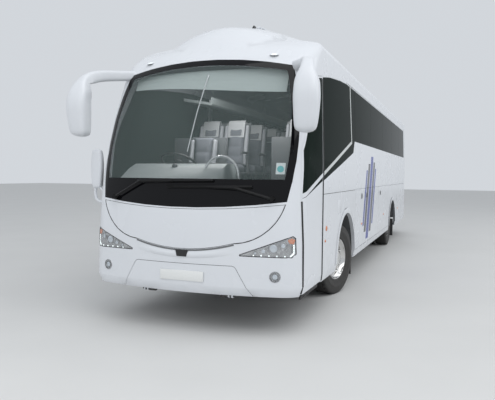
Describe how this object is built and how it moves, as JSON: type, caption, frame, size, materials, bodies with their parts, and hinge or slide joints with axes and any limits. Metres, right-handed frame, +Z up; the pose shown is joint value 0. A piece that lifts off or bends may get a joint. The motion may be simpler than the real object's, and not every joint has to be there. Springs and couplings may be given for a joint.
{
  "type": "coach bus",
  "caption": "Touring coach with a domed front roof, horn mirrors, luggage doors under the floor and a forward-swinging entrance door.",
  "frame": {"origin": "on the ground, on the centre line, midway between the rear panel and the front faces of the mirrors", "axes": "+X forward, +Y to the coach's left, +Z up"},
  "size_m": [12.29, 2.986, 3.7043],
  "materials": {
    "body_paint": "smooth gloss paint",
    "screen_glass": "clear laminated glass",
    "side_glass": "dark tinted glass",
    "lamp_lens": "clear lens",
    "tail_lens": "red lens",
    "mirror_shell": "painted shell",
    "mirror_face": "mirror glass",
    "black_trim": "black trim",
    "tyre": "black rubber",
    "rim_metal": "polished steel",
    "chassis": "black chassis paint",
    "engine_metal": "cast",
    "lining": "moulded lining",
    "floor_cover": "ribbed vinyl floor",
    "cab_plastic": "grained plastic",
    "seat_fabric": "woven seat cloth"
  },
  "bodies": {
    "body": {"windscreen": "screen_glass", "front_mask": "body_paint", "headlamps": "lamp_lens", "roof_front": "body_paint", "roof": "body_paint", "saloon_glass": "side_glass", "side_left": "body_paint", "side_right": "body_paint", "skirt_left": "body_paint", "skirt_right": "body_paint", "rear_panel": "body_paint", "tail_lamps": "tail_lens", "underframe_front": "chassis", "underframe_middle": "chassis", "underframe_rear": "chassis", "front_brackets": "chassis", "luggage_bay": "lining", "saloon_floor": "floor_cover", "entrance_steps": "floor_cover", "wheel_houses": "lining", "front_axle": "chassis", "rear_axle": "chassis", "engine": "engine_metal", "dashboard": "cab_plastic", "passenger_seats": "seat_fabric", "driver_seat": "seat_fabric", "luggage_racks": "lining", "mirrors": "mirror_shell", "mirror_glass": "mirror_face", "wipers": "black_trim", "rail_trim": "body_paint"},
    "entrance_door": {"entrance_door": "body_paint", "door_glass": "side_glass"},
    "door_arms": {"door_arms": "chassis"},
    "front_lid": {"front_lid": "body_paint"},
    "lid_arms": {"lid_arms": "chassis"},
    "bumper_centre": {"bumper_centre": "body_paint"},
    "rear_lid": {"rear_lid": "body_paint"},
    "roof_hatch_front": {"roof_hatch_front": "body_paint"},
    "roof_hatch_rear": {"roof_hatch_rear": "body_paint"},
    "knuckle_left": {"knuckle_left": "chassis"},
    "knuckle_right": {"knuckle_right": "chassis"},
    "track_rod": {"track_rod": "chassis"},
    "steering_wheel": {"steering_wheel": "cab_plastic"},
    "wheel_front_left": {"tyre_front_left": "tyre", "rim_front_left": "rim_metal"},
    "wheel_front_right": {"tyre_front_right": "tyre", "rim_front_right": "rim_metal"},
    "wheels_rear_left": {"tyres_rear_left": "tyre", "rims_rear_left": "rim_metal"},
    "wheels_rear_right": {"tyres_rear_right": "tyre", "rims_rear_right": "rim_metal"},
    "bay_door_left_1": {"bay_door_left_1": "body_paint"},
    "bay_door_left_2": {"bay_door_left_2": "body_paint"},
    "bay_door_left_3": {"bay_door_left_3": "body_paint"},
    "bay_door_right_1": {"bay_door_right_1": "body_paint"},
    "bay_door_right_2": {"bay_door_right_2": "body_paint"},
    "bay_door_right_3": {"bay_door_right_3": "body_paint"}
  },
  "joints": [
    {"name": "steer_left", "type": "hinge", "parent": "body", "child": "knuckle_left", "pos_m": [3.335, 0.83, 0.511], "axis": [0, 0, 1], "range_deg": [-28.5, 55.5]},
    {"name": "steer_right", "type": "hinge", "parent": "body", "child": "knuckle_right", "pos_m": [3.335, -0.83, 0.511], "axis": [0, 0, 1], "range_deg": [-28.5, 55.5]},
    {"name": "track_rod_turn", "type": "hinge", "parent": "knuckle_left", "child": "track_rod", "pos_m": [3.14053, 0.87669, 0.455], "axis": [0, 0, 1], "range_deg": [-55.5, 28.5]},
    {"name": "steering_wheel_turn", "type": "hinge", "parent": "body", "child": "steering_wheel", "pos_m": [4.925, -0.64, 1.88], "axis": [-0.4695, 0, 0.8829], "range_deg": [-427.5, 832.5]},
    {"name": "wheel_front_left_spin", "type": "hinge", "parent": "knuckle_left", "child": "wheel_front_left", "pos_m": [3.38578, 1.04149, 0.511], "axis": [0.2334, 0.9724, 0], "continuous": true},
    {"name": "wheel_front_right_spin", "type": "hinge", "parent": "knuckle_right", "child": "wheel_front_right", "pos_m": [3.28422, -1.04149, 0.511], "axis": [0.2334, 0.9724, 0], "continuous": true},
    {"name": "wheels_rear_left_spin", "type": "hinge", "parent": "body", "child": "wheels_rear_left", "pos_m": [-2.745, 0.88, 0.511], "axis": [0, 1, 0], "continuous": true},
    {"name": "wheels_rear_right_spin", "type": "hinge", "parent": "body", "child": "wheels_rear_right", "pos_m": [-2.745, -0.88, 0.511], "axis": [0, 1, 0], "continuous": true},
    {"name": "door_arm_swing", "type": "hinge", "parent": "body", "child": "door_arms", "pos_m": [5.603, 1.085, 0.8], "axis": [0, 0, -1], "range_deg": [0, 104]},
    {"name": "entrance_door_swing", "type": "hinge", "parent": "door_arms", "child": "entrance_door", "pos_m": [5.16794, 1.2, 0.8], "axis": [0, 0, -1], "range_deg": [-104, 0]},
    {"name": "lid_arm_swing", "type": "hinge", "parent": "body", "child": "lid_arms", "pos_m": [5.845, 0, 1.325], "axis": [0, -1, 0], "range_deg": [0, 70]},
    {"name": "front_lid_swing", "type": "hinge", "parent": "lid_arms", "child": "front_lid", "pos_m": [5.845, 0, 1.025], "axis": [0, -1, 0], "range_deg": [-70, 0]},
    {"name": "bumper_centre_fold", "type": "hinge", "parent": "body", "child": "bumper_centre", "pos_m": [5.905, 0, 0.42], "axis": [0, 1, 0], "range_deg": [0, 80]},
    {"name": "rear_lid_lift", "type": "hinge", "parent": "body", "child": "rear_lid", "pos_m": [-6.137, 0, 1.708], "axis": [0, 1, 0], "range_deg": [0, 90]},
    {"name": "roof_hatch_front_lift", "type": "hinge", "parent": "body", "child": "roof_hatch_front", "pos_m": [4.337, 0, 3.687], "axis": [0, 1, 0], "range_deg": [0, 35]},
    {"name": "roof_hatch_rear_lift", "type": "hinge", "parent": "body", "child": "roof_hatch_rear", "pos_m": [-2.503, 0, 3.489], "axis": [0, 1, 0], "range_deg": [0, 35]},
    {"name": "bay_door_left_1_lift", "type": "hinge", "parent": "body", "child": "bay_door_left_1", "pos_m": [0.5, 1.267, 1.498], "axis": [1, 0, 0], "range_deg": [0, 90]},
    {"name": "bay_door_left_2_lift", "type": "hinge", "parent": "body", "child": "bay_door_left_2", "pos_m": [0.5, 1.267, 1.498], "axis": [1, 0, 0], "range_deg": [0, 90]},
    {"name": "bay_door_left_3_lift", "type": "hinge", "parent": "body", "child": "bay_door_left_3", "pos_m": [0.5, 1.267, 1.498], "axis": [1, 0, 0], "range_deg": [0, 90]},
    {"name": "bay_door_right_1_lift", "type": "hinge", "parent": "body", "child": "bay_door_right_1", "pos_m": [0.5, -1.267, 1.498], "axis": [-1, 0, 0], "range_deg": [0, 90]},
    {"name": "bay_door_right_2_lift", "type": "hinge", "parent": "body", "child": "bay_door_right_2", "pos_m": [0.5, -1.267, 1.498], "axis": [-1, 0, 0], "range_deg": [0, 90]},
    {"name": "bay_door_right_3_lift", "type": "hinge", "parent": "body", "child": "bay_door_right_3", "pos_m": [0.5, -1.267, 1.498], "axis": [-1, 0, 0], "range_deg": [0, 90]}
  ],
  "couplings": [
    {"joint": "steer_right", "follows": "steer_left", "ratio": 1},
    {"joint": "track_rod_turn", "follows": "steer_left", "ratio": -1},
    {"joint": "steering_wheel_turn", "follows": "steer_left", "ratio": 15},
    {"joint": "entrance_door_swing", "follows": "door_arm_swing", "ratio": -1},
    {"joint": "front_lid_swing", "follows": "lid_arm_swing", "ratio": -1}
  ]
}
